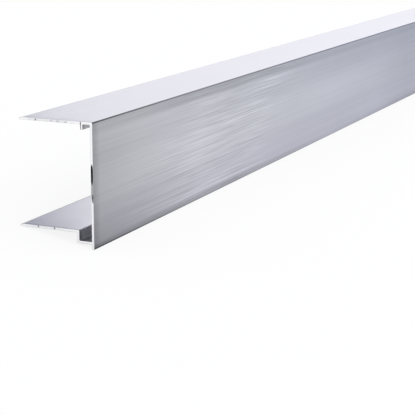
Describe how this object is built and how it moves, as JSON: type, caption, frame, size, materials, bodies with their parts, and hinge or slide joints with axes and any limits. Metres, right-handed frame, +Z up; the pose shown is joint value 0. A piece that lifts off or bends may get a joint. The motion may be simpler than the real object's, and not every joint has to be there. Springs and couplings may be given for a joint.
{
  "type": "aluminium extrusion profile",
  "caption": "Straight length of extruded aluminium edge profile: a channel that takes a panel's edge, with a drain gutter below the seat, a drip edge and an upper lip.",
  "frame": {"origin": "middle of the stock's length and depth, on the floor it lies on", "axes": "+X along the stock, +Y from the web to the flange tips, +Z up; the section leans back onto its drip edge and lower flange tip, as it comes to rest"},
  "size_m": [1, 0.0596, 0.0708],
  "materials": {
    "aluminium": "mill finish with die lines, sawn ends"
  },
  "bodies": {
    "root": {"profile": "aluminium"}
  },
  "joints": []
}
